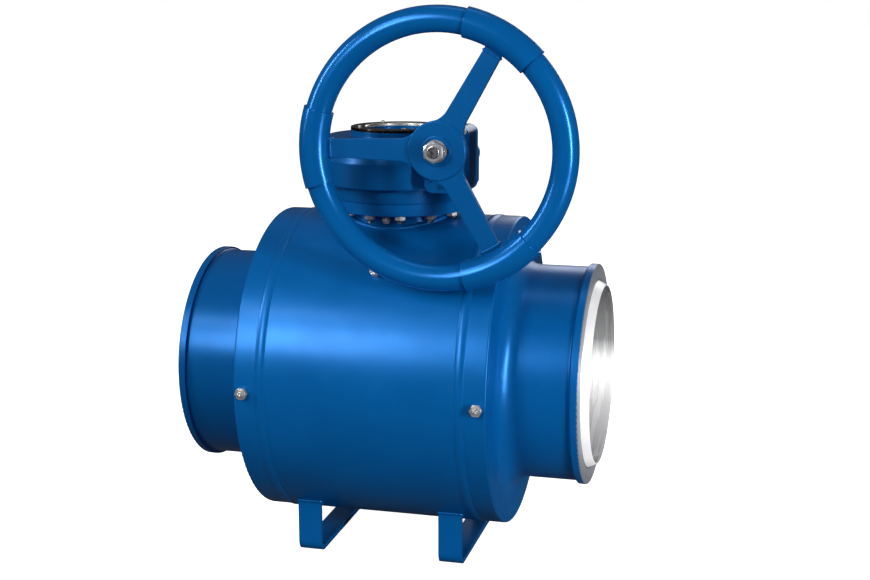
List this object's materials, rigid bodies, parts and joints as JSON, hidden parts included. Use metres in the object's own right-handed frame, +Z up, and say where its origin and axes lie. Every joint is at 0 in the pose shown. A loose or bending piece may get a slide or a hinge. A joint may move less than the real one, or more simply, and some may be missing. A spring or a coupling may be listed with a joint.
{
  "type": "trunnion ball valve",
  "caption": "Welded-body ball valve with butt-weld ends, worm gear operator, three-arm handwheel and U-shaped support feet; the ball, gears, worm and handwheel turn together.",
  "frame": {"origin": "intersection of the flow axis and the stem axis, at the ball's centre", "axes": "+X along the flow axis toward the machined end on the picture's right, +Z up along the stem, handwheel on the -Y side"},
  "size_m": [0.794, 0.6116, 1.0416],
  "materials": {
    "blue_enamel": "smooth glossy blue enamel",
    "plated_ball": "polished plated steel",
    "machined_steel": "fine turned finish",
    "dark_steel": "oiled dark steel",
    "black_screws": "black oxide",
    "stainless": "bright stainless steel",
    "bronze": "machined bronze",
    "ptfe": "off-white filled PTFE",
    "black_rubber": "matt black elastomer"
  },
  "bodies": {
    "valve_body": {"body_shell": "blue_enamel", "left_closure": "blue_enamel", "right_closure": "blue_enamel", "girth_welds": "blue_enamel", "left_foot": "blue_enamel", "right_foot": "blue_enamel", "lower_trunnion": "machined_steel", "trunnion_bush": "bronze", "thrust_washer": "ptfe", "upper_bush": "bronze", "stem_thrust_washer": "ptfe", "left_seat_spring": "machined_steel", "right_seat_spring": "machined_steel", "bonnet": "blue_enamel", "stem_bush": "bronze", "stem_packing": "black_rubber", "gland_ring": "machined_steel", "gland_screws": "black_screws", "seat_fittings": "stainless", "bleed_fitting": "stainless", "stem_fitting": "stainless", "drain_plug": "dark_steel", "mounting_studs": "stainless", "mounting_nuts": "stainless", "gear_base": "blue_enamel", "base_screws": "black_screws", "housing_gasket": "black_rubber", "gear_housing": "blue_enamel", "lower_gear_bush": "bronze", "upper_gear_bush": "bronze", "indicator_ring": "stainless", "stop_screws": "stainless", "stop_nuts": "stainless", "worm_bushes": "bronze", "worm_end_cap": "blue_enamel", "input_bushes": "bronze", "input_seal": "black_rubber", "reducer_cover": "blue_enamel", "cover_screws": "black_screws"},
    "ball_and_stem": {"ball": "plated_ball", "stem": "dark_steel", "worm_gear": "bronze", "gear_key": "machined_steel", "indicator_disc": "dark_steel", "indicator_screws": "stainless"},
    "worm_line": {"worm_shaft": "machined_steel", "worm": "machined_steel", "spur_gear": "dark_steel"},
    "handwheel": {"input_shaft": "machined_steel", "handwheel_arms": "blue_enamel", "rim_tubes": "blue_enamel", "rim_sleeves": "blue_enamel", "handwheel_key": "dark_steel", "handwheel_nut": "stainless"},
    "left_seat": {"left_seat_ring": "machined_steel", "left_seat_insert": "ptfe", "left_seat_seals": "black_rubber"},
    "right_seat": {"right_seat_ring": "machined_steel", "right_seat_insert": "ptfe", "right_seat_seals": "black_rubber"}
  },
  "joints": [
    {"name": "handwheel_turn", "type": "hinge", "parent": "valve_body", "child": "handwheel", "pos_m": [0.137, -0.252, 0.446], "axis": [0, 1, 0], "range_deg": [0, 14580]},
    {"name": "worm_turn", "type": "hinge", "parent": "valve_body", "child": "worm_line", "pos_m": [0.122, 0, 0.41], "axis": [0, -1, 0], "range_deg": [0, 6480]},
    {"name": "ball_turn", "type": "hinge", "parent": "valve_body", "child": "ball_and_stem", "pos_m": [0, 0, 0], "axis": [0, 0, -1], "range_deg": [0, 90]},
    {"name": "left_seat_float", "type": "slide", "parent": "valve_body", "child": "left_seat", "axis": [-1, 0, 0], "range_m": [0, 0.001], "stiffness_N_per_m": 20000},
    {"name": "right_seat_float", "type": "slide", "parent": "valve_body", "child": "right_seat", "axis": [1, 0, 0], "range_m": [0, 0.001], "stiffness_N_per_m": 20000}
  ],
  "couplings": [
    {"joint": "worm_turn", "follows": "handwheel_turn", "ratio": 0.44444},
    {"joint": "ball_turn", "follows": "handwheel_turn", "ratio": 0.0061728}
  ]
}
